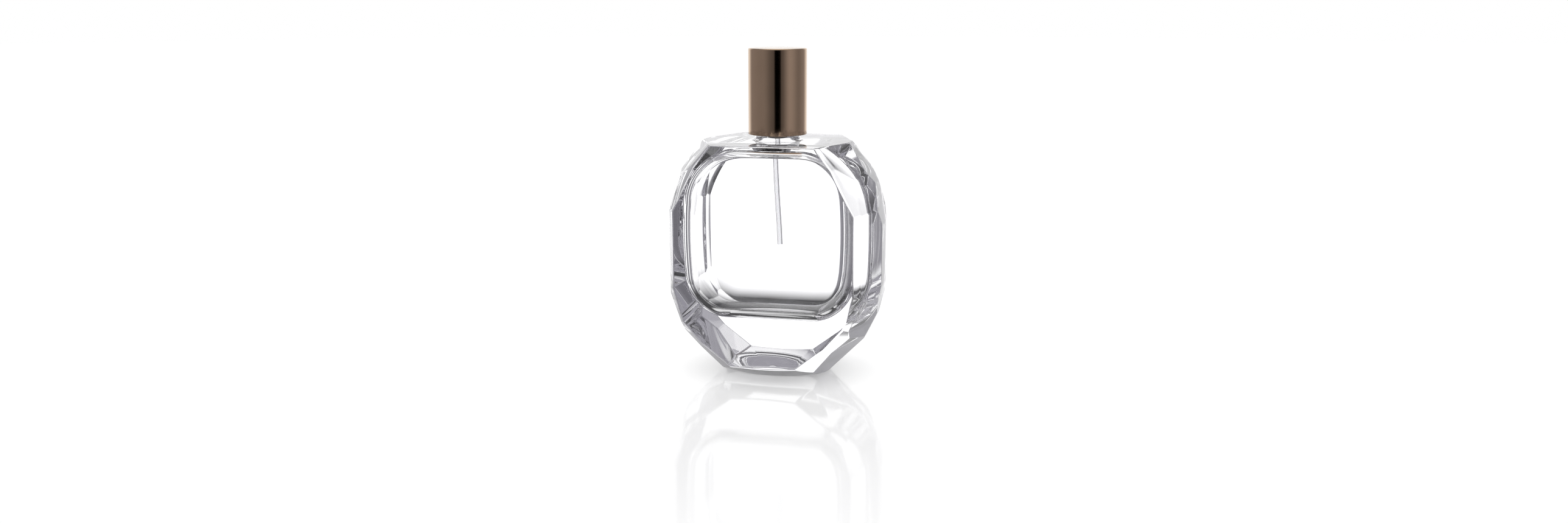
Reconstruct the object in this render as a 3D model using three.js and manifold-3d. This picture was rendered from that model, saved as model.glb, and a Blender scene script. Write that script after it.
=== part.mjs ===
// Faceted glass perfume bottle with a crimped spray pump and a push-on cap.
// Millimetres, +Z up. The origin is the centre of the base, and the spray hole faces -Y.
import * as THREE from "three";
import { mergeVertices, toCreasedNormals } from "three/addons/utils/BufferGeometryUtils.js";
import Module from "manifold-3d";

const wasm = await Module();
wasm.setup();

// ---------------------------------------------------------------- driving dimensions

// Glass body
const BODY_HEIGHT = 70.4; // base to the flat top, called the shoulder below
const BODY_HALF_WIDTH = 32.7;
const BODY_HALF_DEPTH = 20; // centre to the flat front or back face
const BELT_HALF_DEPTH = 4; // half the width of the flat belt round the sides
const FACET_CENTRE = 35.5; // height that the reach of every facet is measured from

// Each facet is a flat cut. turn is its direction in the front view, in degrees above +X,
// tilt is how far it leans towards the front, and reach is its distance from the centre.
const FACE_BEVELS = [
  { turn: 39, tilt: 32, reach: 33.8 },
  { turn: 26.5, tilt: 32, reach: 31 },
  { turn: 0, tilt: 32, reach: 27 },
  { turn: -16.5, tilt: 32, reach: 28.2 },
  { turn: -42, tilt: 32, reach: 29.8 },
  { turn: -53, tilt: 32, reach: 30.3 },
];
const SIDE_BEVELS = [
  { turn: 40, tilt: 16.5, reach: 39.2 },
  { turn: 20, tilt: 16.5, reach: 36.2 },
  { turn: 0, tilt: 16.5, reach: BODY_HALF_WIDTH },
  { turn: -21, tilt: 16.5, reach: 34.4 },
  { turn: -46, tilt: 16.5, reach: 36 },
];
const BELT_FACETS = [
  { turn: 34.5, tilt: 0, reach: 38.2 },
  { turn: 11, tilt: 0, reach: 34.2 },
  { turn: -10, tilt: 0, reach: 33.5 },
  { turn: -26, tilt: 0, reach: 35.2 },
  { turn: -45, tilt: 0, reach: 36.4 },
];

// Oval that the body stands on. The glass widens above it by the slope, up to the foot's top.
const FOOT = { halfWidth: 15.7, halfDepth: 10.2, slope: 2.2, top: 12 };

// Cavity for the perfume, and the hollow under the base
const CAVITY = { halfWidth: 26.6, halfDepth: 12, bottom: 17.8, top: 68.6, edgeRadius: 6 };
const CAVITY_LOWER_CORNER = 13;
const CAVITY_UPPER_CORNER = 17;
const BASE_HOLLOW = { halfWidth: 12.5, halfDepth: 6.8, depth: 1.5 };

// Crimp neck, heights above the shoulder
const NECK = { flare: 7.35, radius: 6.35, bead: 7.5, rim: 6.1, bore: 4.8 };
const NECK_FLARE_TOP = 2.2;
const BEAD_BOTTOM = 5.1;
const BEAD_TOP = 7.75;
const RIM = 8;

// Fixed pump pieces, heights above the shoulder
const GASKET = { inner: 4.3, outer: 6.9, bottom: 8.03, top: 8.3 };
const FLANGE = { outer: 6.9, bottom: 8.33, top: 8.6 };
const BARREL = { upper: 3.7, lower: 2.9, riser: 3.3, bore: 2.6, bottom: 0, step: 1.3, top: 11.5 };
const INLET = { socket: 0.85, socketTop: 1, hole: 0.4, seat: 1.6, chamber: 0.85, top: 3.4 };
const RETAINER = { inner: 0.45, outer: 2.5, bottom: 3.44, top: 3.74 };
const TURRET = { foot: 6.9, bottom: 8.63, footTop: 8.85, outer: 4.55, inner: 3.45, under: 11.9, top: 12.75 };
const FERRULE = { inner: 7.6, outer: 7.78, lip: 6.7, hole: 4.65, bottom: 4.7, under: 8.88, top: 9.08 };
const COLLAR = { inner: 7.83, outer: 8.02, bottom: 3.1, under: 9.12, top: 9.35, edge: 0.35 };
const COLLAR_HEAD = { throat: 4.85, outer: 5.3, inner: 4.65, bottom: 10.25, top: 13, edge: 0.5, hole: 2 };
const STEM_SEAL = { outer: 3.3, bottom: 11.53, top: 11.87 };
const TUBE = { outer: 0.8, inner: 0.5, top: 0.95 };
const TUBE_END = { x: 1.6, y: -0.6, z: 39.3 };

// Moving pump pieces, heights above the shoulder
const BALL = { radius: 0.65, centre: 2.17 };
const SPRING = { wire: 0.34, radius: 1.95, turns: 5, bottom: 3.78, top: 9.41 };
const PISTON_SEAT = { outer: 2.2, spigot: 0.57, bore: 0.3, bottom: 9.45, top: 9.72, spigotTop: 10.6 };
const PISTON = { outer: 2.52, bottom: 9.76, top: 11.4, lip: 0.35, waist: 0.3 };
const STEM = { radius: 1.5, bore: 0.6, bottom: 9.76, top: 18.2 };
const RUNNING_GAP = 0.1;

// Spray button, heights above the shoulder
const BUTTON = { outer: 6.25, shell: 0.3, bottom: 13.3, top: 22.5, edge: 0.4 };
const CORE = { outer: 5.9, inner: 5.55, bottom: 13.5, ceiling: 16.8, socketTop: 18.3, top: 22.15 };
const NOZZLE = { height: 19.5, radius: 1.65, bore: 0.22, cup: 0.95, post: 0.65, floor: 3.4, postEnd: 4.6 };

// Cap, heights above the shoulder
const CAP = { outer: 8.75, inner: 8.4, bottom: 1.8, top: 27.2, plate: 0.45, edge: 0.4 };
const LINER = { outer: 8.34, mouth: 8.1, bore: 7.4, bottom: 2.1, step: 9.45, ceiling: 23.9, top: 24.7 };
const CAP_WEIGHT = { radius: 7.6, bottom: 24.75, top: 26.6 };

// Roundness of the model, and the angle from which an edge is shaded sharp
const COARSE = 24;
const FINE = 40;
const ARC_STEPS = 4;
const CREASE = THREE.MathUtils.degToRad(28);

// ---------------------------------------------------------------- solids

// A closed geometry as a solid that can be joined and cut.
function solidOf(geometry) {
  const bare = geometry.clone();
  bare.deleteAttribute("normal");
  bare.deleteAttribute("uv");
  const merged = mergeVertices(bare, 1e-4);
  return new wasm.Manifold(
    new wasm.Mesh({
      numProp: 3,
      vertProperties: new Float32Array(merged.attributes.position.array),
      triVerts: new Uint32Array(merged.index.array),
    }),
  );
}

// A solid back as a geometry.
function geometryOf(solid) {
  const mesh = solid.getMesh();
  const geometry = new THREE.BufferGeometry();
  geometry.setAttribute("position", new THREE.BufferAttribute(mesh.vertProperties, 3));
  geometry.setIndex(new THREE.BufferAttribute(mesh.triVerts, 1));
  geometry.computeVertexNormals();
  return geometry;
}

// The first geometry with every later one cut out of it.
function cut(whole, ...tools) {
  let solid = solidOf(whole);
  for (const tool of tools) solid = solid.subtract(solidOf(tool));
  return geometryOf(solid);
}

// Points on a quarter or other arc in a profile, angles in degrees from the radius axis.
function arc(radius, height, bend, from, to, steps = ARC_STEPS) {
  const points = [];
  for (let i = 0; i <= steps; i += 1) {
    const angle = THREE.MathUtils.degToRad(from + ((to - from) * i) / steps);
    points.push([radius + bend * Math.cos(angle), height + bend * Math.sin(angle)]);
  }
  return points;
}

// A profile of [radius, height] points, turned about +Z. A ring's profile closes on itself.
function turned(profile, segments = FINE) {
  const onAxis = profile[0][0] === 0;
  const loop = onAxis ? profile : [...profile, profile[0]];
  const area = loop.reduce((sum, [r, z], i) => {
    const [nextR, nextZ] = loop[(i + 1) % loop.length];
    return sum + r * nextZ - nextR * z;
  }, 0);
  const ordered = area > 0 ? loop : [...loop].reverse();
  const points = ordered.map(([r, z]) => new THREE.Vector2(r, z));
  return new THREE.LatheGeometry(points, segments).rotateX(Math.PI / 2);
}

// A plain round bar from one height to another.
function bar(radius, bottom, top, segments = COARSE) {
  return turned([[0, bottom], [radius, bottom], [radius, top], [0, top]], segments);
}

// A plain round ring.
function ring(inner, outer, bottom, top, segments = FINE) {
  return turned([[inner, bottom], [outer, bottom], [outer, top], [inner, top]], segments);
}

// ---------------------------------------------------------------- glass

// A large block whose inner face is the plane of one facet.
function facetTool({ turn, tilt, reach }, startDepth, sideX, sideY) {
  const size = 120;
  const around = THREE.MathUtils.degToRad(turn);
  const lean = THREE.MathUtils.degToRad(tilt);
  const normal = new THREE.Vector3(
    sideX * Math.cos(lean) * Math.cos(around),
    sideY * Math.sin(lean),
    Math.cos(lean) * Math.sin(around),
  );
  const onPlane = new THREE.Vector3(
    sideX * reach * Math.cos(around),
    sideY * startDepth,
    FACET_CENTRE + reach * Math.sin(around),
  );
  const place = new THREE.Matrix4().makeRotationFromQuaternion(
    new THREE.Quaternion().setFromUnitVectors(new THREE.Vector3(0, 0, 1), normal),
  );
  place.setPosition(onPlane.addScaledVector(normal, size / 2));
  return new THREE.BoxGeometry(size, size, size).applyMatrix4(place);
}

// A wide oval cone whose small end is the base. It rounds the body's lowest edges in plan.
function footLimit() {
  const spread = 1 + (FOOT.slope * FOOT.top) / FOOT.halfDepth;
  const above = BODY_HEIGHT + 5;
  return turned([[0, 0], [1, 0], [spread, FOOT.top], [spread, above], [0, above]], 64)
    .scale(FOOT.halfWidth, FOOT.halfDepth, 1);
}

// The outside of the body: a block with its facets cut on all four sides, on an oval foot.
function facetedBody() {
  const block = new THREE.BoxGeometry(2 * BODY_HALF_WIDTH, 2 * BODY_HALF_DEPTH, BODY_HEIGHT);
  let body = solidOf(block.translate(0, 0, BODY_HEIGHT / 2));
  for (const sideX of [-1, 1]) {
    for (const facet of BELT_FACETS) {
      body = body.subtract(solidOf(facetTool(facet, 0, sideX, 1)));
    }
    for (const sideY of [-1, 1]) {
      for (const facet of FACE_BEVELS) {
        body = body.subtract(solidOf(facetTool(facet, BODY_HALF_DEPTH, sideX, sideY)));
      }
      for (const facet of SIDE_BEVELS) {
        body = body.subtract(solidOf(facetTool(facet, BELT_HALF_DEPTH, sideX, sideY)));
      }
    }
  }
  return body.intersect(solidOf(footLimit()));
}

// The cavity's outline in the front view, inset so that its rounded edge brings it to size.
function cavityOutline() {
  const inset = CAVITY.edgeRadius;
  const side = CAVITY.halfWidth - inset;
  const bottom = CAVITY.bottom + inset;
  const top = CAVITY.top - inset;
  const low = CAVITY_LOWER_CORNER - inset;
  const high = CAVITY_UPPER_CORNER - inset;
  const outline = new THREE.Shape();
  outline.absarc(side - low, bottom + low, low, -Math.PI / 2, 0, false);
  outline.absarc(side - high, top - high, high, 0, Math.PI / 2, false);
  outline.absarc(high - side, top - high, high, Math.PI / 2, Math.PI, false);
  outline.absarc(low - side, bottom + low, low, Math.PI, 1.5 * Math.PI, false);
  return outline;
}

function cavity() {
  const flat = 2 * (CAVITY.halfDepth - CAVITY.edgeRadius);
  return new THREE.ExtrudeGeometry(cavityOutline(), {
    depth: flat,
    curveSegments: 8,
    bevelThickness: CAVITY.edgeRadius,
    bevelSize: CAVITY.edgeRadius,
    bevelSegments: 5,
  })
    .translate(0, 0, -flat / 2)
    .rotateX(Math.PI / 2);
}

// The shallow bowl under the base, oval in plan.
function baseHollow() {
  const steps = 5;
  const profile = [[0, -1], [1, -1], [1, 0]];
  for (let i = 1; i <= steps; i += 1) {
    const angle = ((Math.PI / 2) * i) / steps;
    profile.push([i === steps ? 0 : Math.cos(angle), BASE_HOLLOW.depth * Math.sin(angle)]);
  }
  return turned(profile, FINE).scale(BASE_HOLLOW.halfWidth, BASE_HOLLOW.halfDepth, 1);
}

// The neck's outside, from inside the shoulder up to the rim.
function neckOutside() {
  const root = -2;
  const flareBend = NECK.flare - NECK.radius;
  const beadEdge = 0.5;
  return turned([
    [0, root],
    [NECK.flare, root],
    [NECK.flare, 0],
    ...arc(NECK.flare, NECK_FLARE_TOP, flareBend, 240, 180),
    [NECK.radius, BEAD_BOTTOM],
    ...arc(NECK.bead - beadEdge, BEAD_BOTTOM + beadEdge, beadEdge, -90, 0),
    ...arc(NECK.bead - beadEdge, BEAD_TOP - beadEdge, beadEdge, 0, 90),
    [NECK.rim, BEAD_TOP],
    [NECK.rim, RIM],
    [0, RIM],
  ]).translate(0, 0, BODY_HEIGHT);
}

function glassBottle() {
  const bore = bar(NECK.bore, CAVITY.top - CAVITY.edgeRadius, BODY_HEIGHT + RIM + 1, FINE);
  const solid = facetedBody()
    .add(solidOf(neckOutside()))
    .subtract(solidOf(cavity()))
    .subtract(solidOf(bore))
    .subtract(solidOf(baseHollow()));
  return geometryOf(solid);
}

// ---------------------------------------------------------------- pump, fixed pieces

function neckGasket() {
  return ring(GASKET.inner, GASKET.outer, GASKET.bottom, GASKET.top);
}

// Barrel with the flange that rests on the neck, the valve seat and the tube socket.
function pumpHousing() {
  return turned([
    [INLET.socket, BARREL.bottom],
    [BARREL.lower - 0.3, BARREL.bottom],
    [BARREL.lower, BARREL.bottom + 0.3],
    [BARREL.lower, BARREL.step],
    [BARREL.upper, BARREL.step],
    [BARREL.upper, FLANGE.bottom],
    [FLANGE.outer, FLANGE.bottom],
    [FLANGE.outer, FLANGE.top],
    [BARREL.riser, FLANGE.top],
    [BARREL.riser, BARREL.top],
    [BARREL.bore, BARREL.top],
    [BARREL.bore, INLET.top],
    [INLET.chamber, INLET.top],
    [INLET.chamber, INLET.seat + INLET.chamber - INLET.hole],
    [INLET.hole, INLET.seat],
    [INLET.hole, INLET.socketTop],
    [INLET.socket, INLET.socketTop],
  ]);
}

function ballRetainer() {
  return ring(RETAINER.inner, RETAINER.outer, RETAINER.bottom, RETAINER.top, COARSE);
}

// Closure over the housing's mouth: its foot is held down by the ferrule, and it guides the stem.
function pumpTurret() {
  const guide = STEM.radius + RUNNING_GAP;
  return turned([
    [TURRET.inner, TURRET.bottom],
    [TURRET.foot, TURRET.bottom],
    [TURRET.foot, TURRET.footTop],
    [TURRET.outer, TURRET.footTop],
    [TURRET.outer, TURRET.top],
    [guide, TURRET.top],
    [guide, TURRET.under],
    [TURRET.inner, TURRET.under],
  ]);
}

// Thin cup over the gasket, flange and turret foot, its lower edge folded in under the bead.
function crimpFerrule() {
  const fold = 0.2;
  const lipTop = FERRULE.bottom + 0.3;
  return turned([
    [FERRULE.lip, FERRULE.bottom],
    [FERRULE.outer - fold, FERRULE.bottom],
    [FERRULE.outer, FERRULE.bottom + fold],
    [FERRULE.outer, FERRULE.top],
    [FERRULE.hole, FERRULE.top],
    [FERRULE.hole, FERRULE.under],
    [FERRULE.inner, FERRULE.under],
    [FERRULE.inner, lipTop],
    [FERRULE.lip, lipTop],
  ]);
}

// Decorative sleeve that hides the ferrule, then narrows and swells over the turret.
function pumpCollar() {
  const flare = COLLAR_HEAD.bottom - COLLAR.top;
  const headEdge = COLLAR_HEAD.outer - COLLAR_HEAD.edge;
  const headUnder = COLLAR_HEAD.top - 0.2;
  return turned([
    [COLLAR.inner, COLLAR.bottom],
    [COLLAR.outer, COLLAR.bottom],
    ...arc(COLLAR.outer - COLLAR.edge, COLLAR.top - COLLAR.edge, COLLAR.edge, 0, 90),
    ...arc(COLLAR_HEAD.throat + flare, COLLAR_HEAD.bottom, flare, 270, 180),
    ...arc(headEdge, COLLAR_HEAD.bottom + COLLAR_HEAD.edge, COLLAR_HEAD.edge, -60, 0),
    ...arc(headEdge, COLLAR_HEAD.top - COLLAR_HEAD.edge, COLLAR_HEAD.edge, 0, 90),
    [COLLAR_HEAD.hole, COLLAR_HEAD.top],
    [COLLAR_HEAD.hole, headUnder],
    [COLLAR_HEAD.inner, headUnder],
    [COLLAR_HEAD.inner, COLLAR.under],
    [COLLAR.inner, COLLAR.under],
  ]);
}

function stemSeal() {
  return ring(STEM.radius + RUNNING_GAP, STEM_SEAL.outer, STEM_SEAL.bottom, STEM_SEAL.top, COARSE);
}

// Thin tube that hangs from the housing and leans a little to one side.
function dipTube() {
  const start = new THREE.Vector3(0, 0, BODY_HEIGHT + TUBE.top);
  const path = new THREE.CubicBezierCurve3(
    start,
    new THREE.Vector3(0, 0, start.z - 14),
    new THREE.Vector3(0.7 * TUBE_END.x, 0.7 * TUBE_END.y, start.z - 20),
    new THREE.Vector3(TUBE_END.x, TUBE_END.y, TUBE_END.z),
  );
  const wall = new THREE.Shape().absarc(0, 0, TUBE.outer, 0, 2 * Math.PI, false);
  wall.holes.push(new THREE.Path().absarc(0, 0, TUBE.inner, 0, 2 * Math.PI, true));
  return new THREE.ExtrudeGeometry(wall, { extrudePath: path, steps: 16, curveSegments: 6 });
}

// ---------------------------------------------------------------- pump, moving pieces

function checkBall() {
  return new THREE.SphereGeometry(BALL.radius, 12, 8).rotateX(Math.PI / 2).translate(0, 0, BALL.centre);
}

function pumpStem() {
  return ring(STEM.bore, STEM.radius, STEM.bottom, STEM.top, COARSE);
}

// Sliding seal round the stem's foot, wider at its two lips than at its waist.
function piston() {
  const inner = STEM.radius + 0.04;
  const waist = PISTON.outer - PISTON.waist;
  return turned([
    [inner, PISTON.bottom],
    [PISTON.outer, PISTON.bottom],
    [PISTON.outer, PISTON.bottom + PISTON.lip],
    [waist, PISTON.bottom + 2 * PISTON.lip],
    [waist, PISTON.top - 2 * PISTON.lip],
    [PISTON.outer, PISTON.top - PISTON.lip],
    [PISTON.outer, PISTON.top],
    [inner, PISTON.top],
  ], COARSE);
}

// Disc under the piston with a spigot up into the stem. The spring pushes on its underside.
function pistonSeat() {
  return turned([
    [PISTON_SEAT.bore, PISTON_SEAT.bottom],
    [PISTON_SEAT.outer, PISTON_SEAT.bottom],
    [PISTON_SEAT.outer, PISTON_SEAT.top],
    [PISTON_SEAT.spigot, PISTON_SEAT.top],
    [PISTON_SEAT.spigot, PISTON_SEAT.spigotTop],
    [PISTON_SEAT.bore, PISTON_SEAT.spigotTop],
  ], COARSE);
}

// Coil between the ball retainer and the piston seat.
function returnSpring() {
  class Coil extends THREE.Curve {
    getPoint(t) {
      const angle = 2 * Math.PI * SPRING.turns * t;
      const low = SPRING.bottom + SPRING.wire / 2;
      const high = SPRING.top - SPRING.wire / 2;
      return new THREE.Vector3(
        SPRING.radius * Math.cos(angle),
        SPRING.radius * Math.sin(angle),
        low + (high - low) * t,
      );
    }
  }
  const wire = new THREE.Shape().absarc(0, 0, SPRING.wire / 2, 0, 2 * Math.PI, false);
  return new THREE.ExtrudeGeometry(wire, {
    extrudePath: new Coil(),
    steps: SPRING.turns * 14,
    curveSegments: 3,
  });
}

// ---------------------------------------------------------------- spray button

// A piece made about +Z, laid down so that its top points forward at the spray hole's height.
function forward(geometry) {
  return geometry.rotateX(Math.PI / 2).translate(0, 0, NOZZLE.height);
}

// Metal cup with the spray hole in its side.
function buttonShell() {
  const inner = BUTTON.outer - BUTTON.shell;
  const cup = turned([
    [0, BUTTON.top],
    ...arc(BUTTON.outer - BUTTON.edge, BUTTON.top - BUTTON.edge, BUTTON.edge, 90, 0),
    [BUTTON.outer, BUTTON.bottom],
    [inner, BUTTON.bottom],
    [inner, BUTTON.top - BUTTON.shell],
    [0, BUTTON.top - BUTTON.shell],
  ]);
  return cut(cup, forward(bar(NOZZLE.radius + 0.1, 4, BUTTON.outer + 1)));
}

// Plastic core: a socket for the stem, a channel up and across, and the spray pocket.
function buttonCore() {
  const body = turned([
    [0, CORE.top],
    [CORE.outer, CORE.top],
    [CORE.outer, CORE.bottom],
    [CORE.inner, CORE.bottom],
    [CORE.inner, CORE.ceiling],
    [0, CORE.ceiling],
  ]);
  const pocket = ring(NOZZLE.post, NOZZLE.radius + 0.05, NOZZLE.floor, CORE.outer + 1, COARSE);
  const clearance = bar(NOZZLE.radius, NOZZLE.postEnd, CORE.outer + 1);
  const socket = bar(STEM.radius + 0.03, CORE.ceiling - 1, CORE.socketTop);
  const rise = bar(STEM.bore, CORE.socketTop - 1, NOZZLE.height + STEM.bore, 12);
  const channelLength = NOZZLE.floor + 0.4;
  const channel = new THREE.BoxGeometry(0.9, channelLength, 0.7)
    .translate(0, -channelLength / 2, NOZZLE.height + NOZZLE.post + 0.35);
  return cut(body, forward(pocket), forward(clearance), socket, rise, channel);
}

// Small cup with the spray hole, pressed over the post in the core's pocket.
function nozzleInsert() {
  const face = BUTTON.outer - 0.25;
  const inside = NOZZLE.postEnd + 0.1;
  return forward(turned([
    [NOZZLE.bore, face],
    [NOZZLE.radius - 0.05, face],
    [NOZZLE.radius - 0.05, NOZZLE.floor + 0.15],
    [NOZZLE.cup, NOZZLE.floor + 0.15],
    [NOZZLE.cup, inside],
    [NOZZLE.bore, inside + 0.2],
  ], COARSE));
}

// ---------------------------------------------------------------- cap

function capShell() {
  return turned([
    [0, CAP.top],
    ...arc(CAP.outer - CAP.edge, CAP.top - CAP.edge, CAP.edge, 90, 0),
    ...arc(CAP.outer - 0.15, CAP.bottom + 0.15, 0.15, 0, -90, 2),
    [CAP.inner, CAP.bottom],
    [CAP.inner, CAP.top - CAP.plate],
    [0, CAP.top - CAP.plate],
  ]);
}

// Plastic inner cup: its mouth slides over the collar and its step rests on the collar's top.
function capLiner() {
  return turned([
    [0, LINER.top],
    [LINER.outer, LINER.top],
    [LINER.outer, LINER.bottom],
    [LINER.mouth, LINER.bottom],
    [LINER.mouth, LINER.step],
    [LINER.bore, LINER.step],
    [LINER.bore, LINER.ceiling],
    [0, LINER.ceiling],
  ]);
}

function capWeight() {
  return bar(CAP_WEIGHT.radius, CAP_WEIGHT.bottom, CAP_WEIGHT.top, FINE);
}

// ---------------------------------------------------------------- assembly

const BRONZE = { color: 0x7d694e, metalness: 1, roughness: 0.32 };
const BRIGHT_ALUMINIUM = { color: 0xc4c6c8, metalness: 1, roughness: 0.35 };
const SPRING_STEEL = { color: 0xb9bcc0, metalness: 1, roughness: 0.25 };
const CLEAR_GLASS = { color: 0xf4f6f8, metalness: 0, roughness: 0.02, transparent: true, opacity: 0.35 };
const CLEAR_PLASTIC = { color: 0xeceef0, metalness: 0, roughness: 0.2, transparent: true, opacity: 0.5 };
const GREY_PLASTIC = { color: 0x6e6560, metalness: 0, roughness: 0.45 };
const WHITE_PLASTIC = { color: 0xe9e8e4, metalness: 0, roughness: 0.5 };
const DARK_PLASTIC = { color: 0x50413a, metalness: 0, roughness: 0.4 };
const SOFT_RUBBER = { color: 0x2b2b2c, metalness: 0, roughness: 0.8 };

function piece(name, geometry, look) {
  const shaded = toCreasedNormals(geometry, CREASE);
  const mesh = new THREE.Mesh(shaded, new THREE.MeshStandardMaterial(look));
  mesh.name = name;
  return mesh;
}

const bottle = new THREE.Group();
bottle.add(piece("glass_bottle", glassBottle(), CLEAR_GLASS));
bottle.add(piece("dip_tube", dipTube(), CLEAR_PLASTIC));

const pump = new THREE.Group();
pump.position.z = BODY_HEIGHT;
pump.add(piece("neck_gasket", neckGasket(), SOFT_RUBBER));
pump.add(piece("pump_housing", pumpHousing(), GREY_PLASTIC));
pump.add(piece("ball_retainer", ballRetainer(), WHITE_PLASTIC));
pump.add(piece("check_ball", checkBall(), SPRING_STEEL));
pump.add(piece("crimp_ferrule", crimpFerrule(), BRIGHT_ALUMINIUM));
pump.add(piece("pump_collar", pumpCollar(), BRONZE));
pump.add(piece("pump_turret", pumpTurret(), GREY_PLASTIC));
pump.add(piece("stem_seal", stemSeal(), SOFT_RUBBER));
pump.add(piece("pump_stem", pumpStem(), WHITE_PLASTIC));
pump.add(piece("piston", piston(), WHITE_PLASTIC));
pump.add(piece("piston_seat", pistonSeat(), WHITE_PLASTIC));
pump.add(piece("return_spring", returnSpring(), SPRING_STEEL));
bottle.add(pump);

const button = new THREE.Group();
button.position.z = BODY_HEIGHT;
button.add(piece("button_shell", buttonShell(), BRONZE));
button.add(piece("button_core", buttonCore(), WHITE_PLASTIC));
button.add(piece("nozzle_insert", nozzleInsert(), DARK_PLASTIC));
bottle.add(button);

const cap = new THREE.Group();
cap.position.z = BODY_HEIGHT;
cap.add(piece("cap_shell", capShell(), BRONZE));
cap.add(piece("cap_liner", capLiner(), WHITE_PLASTIC));
cap.add(piece("cap_weight", capWeight(), BRIGHT_ALUMINIUM));
bottle.add(cap);

export default bottle;
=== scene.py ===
"""Looks of a faceted glass perfume bottle with a bronze spray pump and cap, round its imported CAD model.

Metres, +Z up, the base's centre at the origin, the spray hole facing -Y.
"""

import math

import bmesh
import bpy
from mathutils import Matrix, Vector, noise


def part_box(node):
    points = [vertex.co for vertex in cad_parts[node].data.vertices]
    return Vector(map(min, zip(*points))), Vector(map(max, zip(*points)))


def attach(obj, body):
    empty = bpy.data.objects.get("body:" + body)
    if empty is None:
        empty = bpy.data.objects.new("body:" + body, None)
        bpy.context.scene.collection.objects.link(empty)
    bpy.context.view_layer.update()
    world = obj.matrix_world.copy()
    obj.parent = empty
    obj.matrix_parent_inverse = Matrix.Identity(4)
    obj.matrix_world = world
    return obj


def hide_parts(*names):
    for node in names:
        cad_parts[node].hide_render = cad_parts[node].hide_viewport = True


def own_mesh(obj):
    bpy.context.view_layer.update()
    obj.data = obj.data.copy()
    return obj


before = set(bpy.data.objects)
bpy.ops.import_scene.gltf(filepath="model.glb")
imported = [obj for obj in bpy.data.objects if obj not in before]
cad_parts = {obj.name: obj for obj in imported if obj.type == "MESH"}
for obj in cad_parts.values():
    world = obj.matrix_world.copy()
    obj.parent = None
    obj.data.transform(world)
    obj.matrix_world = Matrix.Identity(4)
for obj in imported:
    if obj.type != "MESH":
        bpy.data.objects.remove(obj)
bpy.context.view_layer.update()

MM = 0.001
SMOOTH_ANGLE = math.radians(30)

# ------------------------------------------------------------------ sizes

# Facets of the glass, as in the CAD: (turn, tilt, reach). turn is the direction in the front view
# in degrees above +X, tilt the lean towards the front, reach the distance from the centre in mm.
FACE_BEVELS = [
    (39, 32, 33.8),
    (26.5, 32, 31.0),
    (0, 32, 27.0),
    (-16.5, 32, 28.2),
    (-42, 32, 29.8),
    (-53, 32, 30.3),
]
SIDE_BEVELS = [
    (40, 16.5, 39.2),
    (20, 16.5, 36.2),
    (0, 16.5, 32.7),
    (-21, 16.5, 34.4),
    (-46, 16.5, 36.0),
]
BELT_FACETS = [(34.5, 0, 38.2), (11, 0, 34.2), (-10, 0, 33.5), (-26, 0, 35.2), (-45, 0, 36.4)]
FACET_CENTRE = 35.5 * MM
BELT_HALF_DEPTH = 4 * MM

# Rounding of the facets' edges, and the least turn that counts as an edge
EDGE_RADIUS = 0.4 * MM
EDGE_STEPS = 3
FLAT_ANGLE = math.radians(0.5)
EDGE_ANGLE = math.radians(6)

GLASS_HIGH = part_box("glass_bottle")[1]
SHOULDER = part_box("pump_housing")[0].z
RIM = GLASS_HIGH.z

# Cavity in the glass. Its outline narrows by the bulge's share towards the top and bottom, and its
# walls are uneven by the unevenness, over lengths of about 1 / scale metres.
CAVITY_HALF_WIDTH = 26.6 * MM
CAVITY_HALF_DEPTH = 12 * MM
CAVITY_BOTTOM = 17.8 * MM
CAVITY_TOP = 68.6 * MM
CAVITY_LOW_CORNER = 12 * MM
CAVITY_HIGH_CORNER = 16 * MM
CAVITY_EDGE = 6 * MM
CAVITY_TOP_EDGE = 3 * MM
CAVITY_BULGE = 0.09
CAVITY_UNEVENNESS = 0.12 * MM
CAVITY_UNEVENNESS_SCALE = 40
CORNER_STEPS = 14
WALL_STEPS = 16
DEPTH_STEPS = 24
BORE = 4.8 * MM

# Foot: the oval that the bottle stands on, and how fast the glass widens above it
FOOT_HALF_WIDTH = 15.7 * MM
FOOT_HALF_DEPTH = 10.2 * MM
FOOT_SLOPE = 2.2
BELOW_CAVITY = 12 * MM

# ------------------------------------------------------------------ mesh helpers


def new_object(name, bm):
    """A mesh object from a bmesh, shaded smooth except across its sharp edges."""
    mesh = bpy.data.meshes.new(name)
    bm.to_mesh(mesh)
    bm.free()
    for polygon in mesh.polygons:
        polygon.use_smooth = True
    mesh.set_sharp_from_angle(angle=SMOOTH_ANGLE)
    obj = bpy.data.objects.new(name, mesh)
    bpy.context.scene.collection.objects.link(obj)
    return obj


def rounded(corners, steps=5, closed=True):
    """Points of an outline whose corners (x, y, radius) are rounded with arcs of that radius."""
    points = []
    count = len(corners)
    for i, (x, y, radius) in enumerate(corners):
        here = Vector((x, y))
        at_end = not closed and i in (0, count - 1)
        if radius == 0 or at_end:
            points.append((x, y))
            continue
        before = Vector(corners[i - 1][:2]) - here
        after = Vector(corners[(i + 1) % count][:2]) - here
        before.normalize()
        after.normalize()
        half = before.angle(after) / 2
        start = here + before * (radius / math.tan(half))
        middle = here + (before + after).normalized() * (radius / math.sin(half))
        spoke = start - middle
        sweep = math.pi - 2 * half
        if before.x * after.y - before.y * after.x > 0:
            sweep = -sweep
        for step in range(steps + 1):
            angle = sweep * step / steps
            turned = Matrix.Rotation(angle, 2) @ spoke
            points.append(tuple(middle + turned))
    return points


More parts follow.
